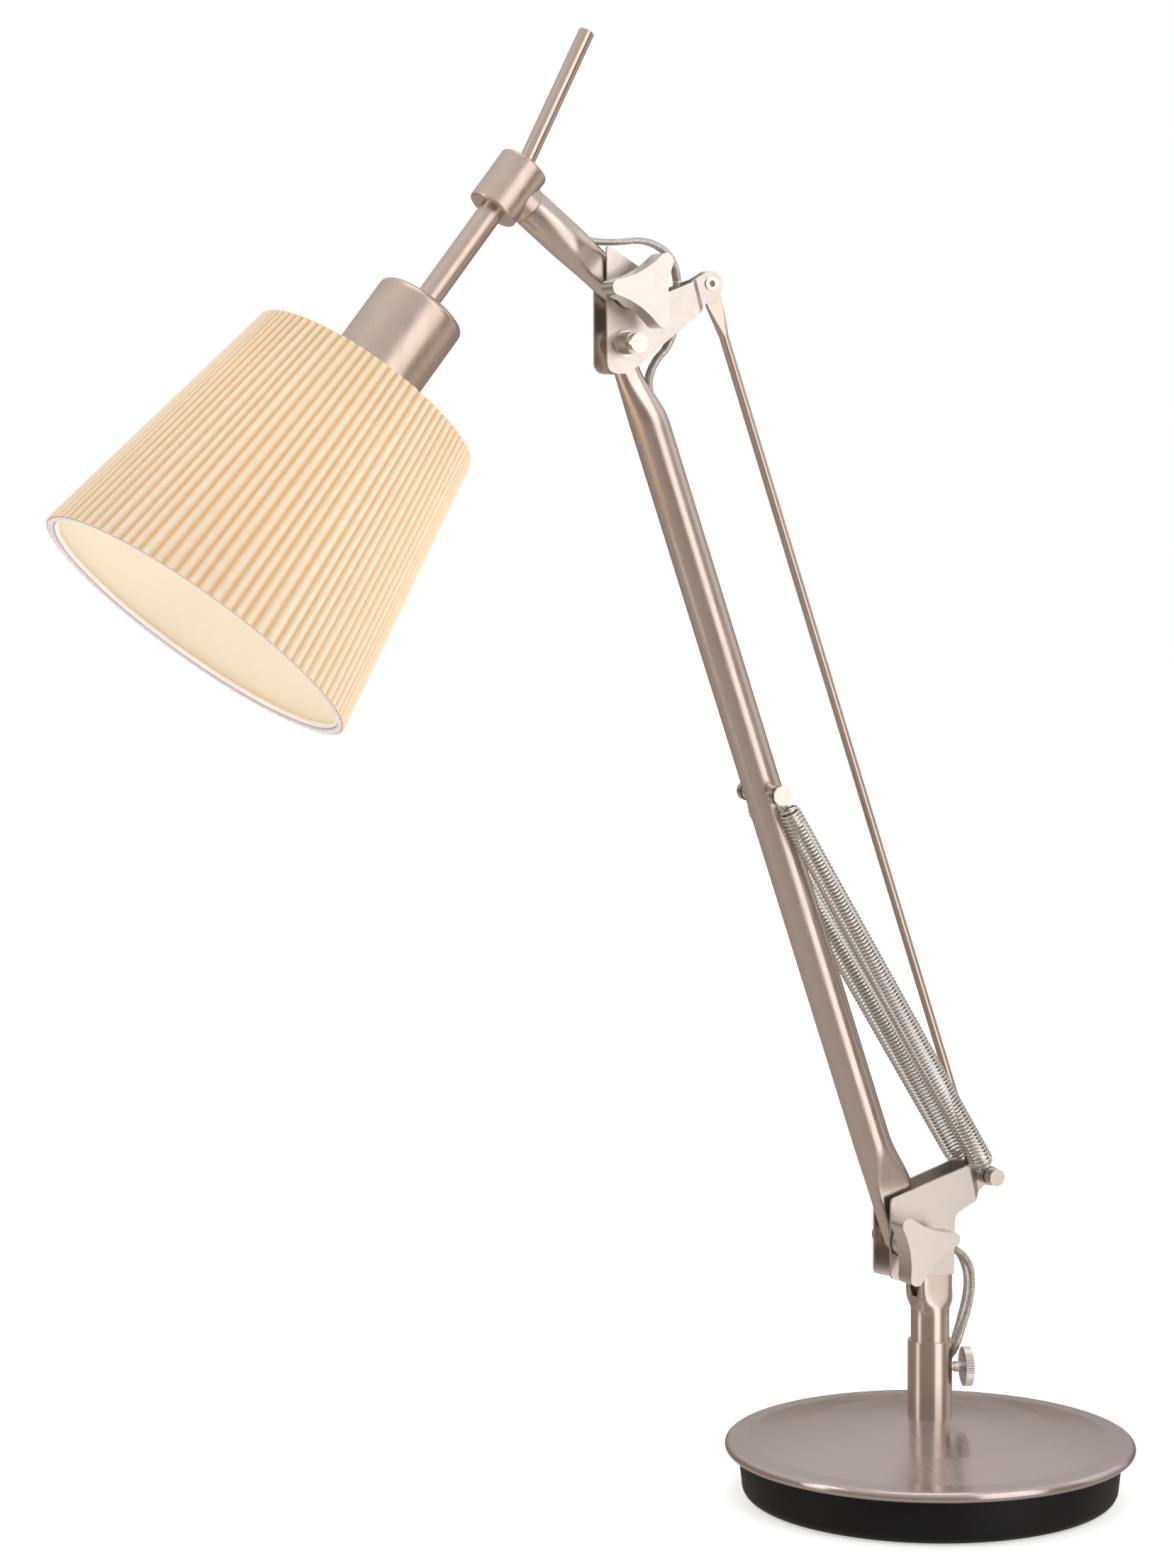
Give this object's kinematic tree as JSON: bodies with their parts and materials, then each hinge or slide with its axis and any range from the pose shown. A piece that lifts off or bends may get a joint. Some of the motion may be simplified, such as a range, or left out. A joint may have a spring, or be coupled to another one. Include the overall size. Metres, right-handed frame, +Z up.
{
  "type": "balanced-arm desk lamp",
  "caption": "Desk lamp with a weighted round base, turning post, spring-balanced parallelogram arm, tilting and turning head with a grab rod, and a pleated cone shade.",
  "frame": {"origin": "centre of the base pad, on the surface it stands on", "axes": "+Z up; the arm lies in the XZ plane and leans towards -X; +Y is behind the two clamping knobs"},
  "size_m": [0.5463, 0.203, 0.71],
  "materials": {
    "pad": "felt",
    "black": "fine textured black",
    "iron": "raw casting",
    "nickel_base": "brushed nickel plate, ring-brushed",
    "nickel_tube": "brushed nickel plate",
    "nickel_plate": "satin nickel plate",
    "steel": "bright zinc",
    "rod": "polished nickel plate",
    "spring": "plated spring wire",
    "bush": "nylon",
    "washer": "fibre",
    "black_plastic": "moulded",
    "porcelain": "glazed",
    "brass": "plain",
    "alu": "plain",
    "bulb": "frosted, lit",
    "white_metal": "white lacquer",
    "liner": "laminated lining",
    "pleats": "pleated ivory cloth",
    "trim": "woven edging",
    "lead": "clear sheath over tinned strands"
  },
  "bodies": {
    "base": {"base_pad": "pad", "base_body": "black", "base_weight": "iron", "base_cover": "nickel_base", "base_bolt": "steel", "base_nut": "steel", "cord_bush": "black_plastic", "post_sleeve": "nickel_tube", "sleeve_grommet": "black_plastic"},
    "thumb": {"thumb_screw": "nickel_plate"},
    "turret": {"post": "nickel_tube", "lower_plate_front": "nickel_plate", "lower_plate_back": "nickel_plate", "lower_pivot_bolt": "steel", "lower_washers": "washer", "lower_spring_pin": "steel", "lead_lower": "lead", "lead_post": "lead"},
    "knob_low": {"lower_knob": "nickel_plate"},
    "arm": {"arm_tube": "nickel_tube", "arm_bushes": "bush", "upper_spring_pin": "steel", "lead_arm": "lead"},
    "springs": {"spring_hooks_lower": "spring", "spring_front": "spring", "spring_back": "spring"},
    "spring_ends": {"spring_end_plugs": "steel"},
    "spring_hooks": {"spring_hooks_upper": "spring"},
    "link": {"link_rod": "rod"},
    "elbow": {"elbow_plate_front": "nickel_plate", "elbow_plate_back": "nickel_plate", "elbow_pivot_pin": "steel", "elbow_pivot_nut": "steel", "link_eyelet": "steel", "tilt_bolt": "steel", "tilt_washers": "washer", "lead_elbow": "lead", "lead_knuckle": "lead"},
    "knob_high": {"elbow_knob": "nickel_plate"},
    "wrist": {"wrist_tube": "nickel_tube", "wrist_bush": "bush"},
    "head": {"holder": "nickel_plate", "swivel_screw": "brass", "conduit": "nickel_tube", "handle_rod": "rod", "lamp_cup": "nickel_tube", "lamp_socket": "porcelain", "socket_shell": "brass", "socket_ring": "porcelain", "bulb_cap": "alu", "bulb_glass": "bulb", "shade_spider": "white_metal", "shade_ring_top": "white_metal", "shade_ring_bottom": "white_metal", "shade_liner": "liner", "shade_pleats": "pleats", "shade_trim_top": "trim", "shade_trim_bottom": "trim"}
  },
  "joints": [
    {"name": "base_swivel", "type": "hinge", "parent": "base", "child": "turret", "pos_m": [0, 0, 0.08], "axis": [0, 0, 1], "range_deg": [-90, 90], "deforming": ["lead_post"]},
    {"name": "thumb_turn", "type": "hinge", "parent": "base", "child": "thumb", "pos_m": [0, 0, 0.0643], "axis": [0.9455, -0.3256, 0], "range_deg": [-180, 180]},
    {"name": "arm_lift", "type": "hinge", "parent": "turret", "child": "arm", "pos_m": [-0.0203, 0, 0.1315], "axis": [0, 1, 0], "range_deg": [-42, 10], "deforming": ["lead_lower"]},
    {"name": "lower_knob_turn", "type": "hinge", "parent": "turret", "child": "knob_low", "pos_m": [-0.0203, -0.024, 0.1315], "axis": [0, 1, 0], "range_deg": [-180, 180]},
    {"name": "link_swing", "type": "hinge", "parent": "turret", "child": "link", "pos_m": [0.0271, 0, 0.1599], "axis": [0, 1, 0], "range_deg": [-43, 11]},
    {"name": "elbow_level", "type": "hinge", "parent": "arm", "child": "elbow", "pos_m": [-0.1712, 0, 0.56605], "axis": [0, 1, 0], "range_deg": [-11, 43], "deforming": ["lead_knuckle"]},
    {"name": "spring_swing", "type": "hinge", "parent": "turret", "child": "springs", "pos_m": [0.0271, 0, 0.1599], "axis": [0, 1, 0], "range_deg": [-43, 11]},
    {"name": "spring_stretch", "type": "slide", "parent": "springs", "child": "spring_ends", "axis": [-0.5295, 0, 0.8483], "range_m": [-0.012, 0.045], "deforming": ["spring_front", "spring_back"]},
    {"name": "spring_hook_swing", "type": "hinge", "parent": "arm", "child": "spring_hooks", "pos_m": [-0.09385, 0, 0.35367], "axis": [0, 1, 0], "range_deg": [-6, 6]},
    {"name": "head_tilt", "type": "hinge", "parent": "elbow", "child": "wrist", "pos_m": [-0.1693, 0, 0.59005], "axis": [0, 1, 0], "range_deg": [-38, 60], "deforming": ["lead_elbow"]},
    {"name": "elbow_knob_turn", "type": "hinge", "parent": "elbow", "child": "knob_high", "pos_m": [-0.1693, -0.024, 0.59005], "axis": [0, 1, 0], "range_deg": [-180, 180]},
    {"name": "head_swivel", "type": "hinge", "parent": "wrist", "child": "head", "pos_m": [-0.22713, 0, 0.63621], "axis": [-0.7815, 0, 0.6239], "range_deg": [-150, 150]}
  ],
  "couplings": [
    {"joint": "link_swing", "follows": "arm_lift", "ratio": 1},
    {"joint": "elbow_level", "follows": "arm_lift", "ratio": -1},
    {"joint": "spring_swing", "follows": "arm_lift", "ratio": 0.9389},
    {"joint": "spring_stretch", "follows": "arm_lift", "m_per_rad": -0.05163},
    {"joint": "spring_hook_swing", "follows": "arm_lift", "ratio": -0.0611}
  ]
}
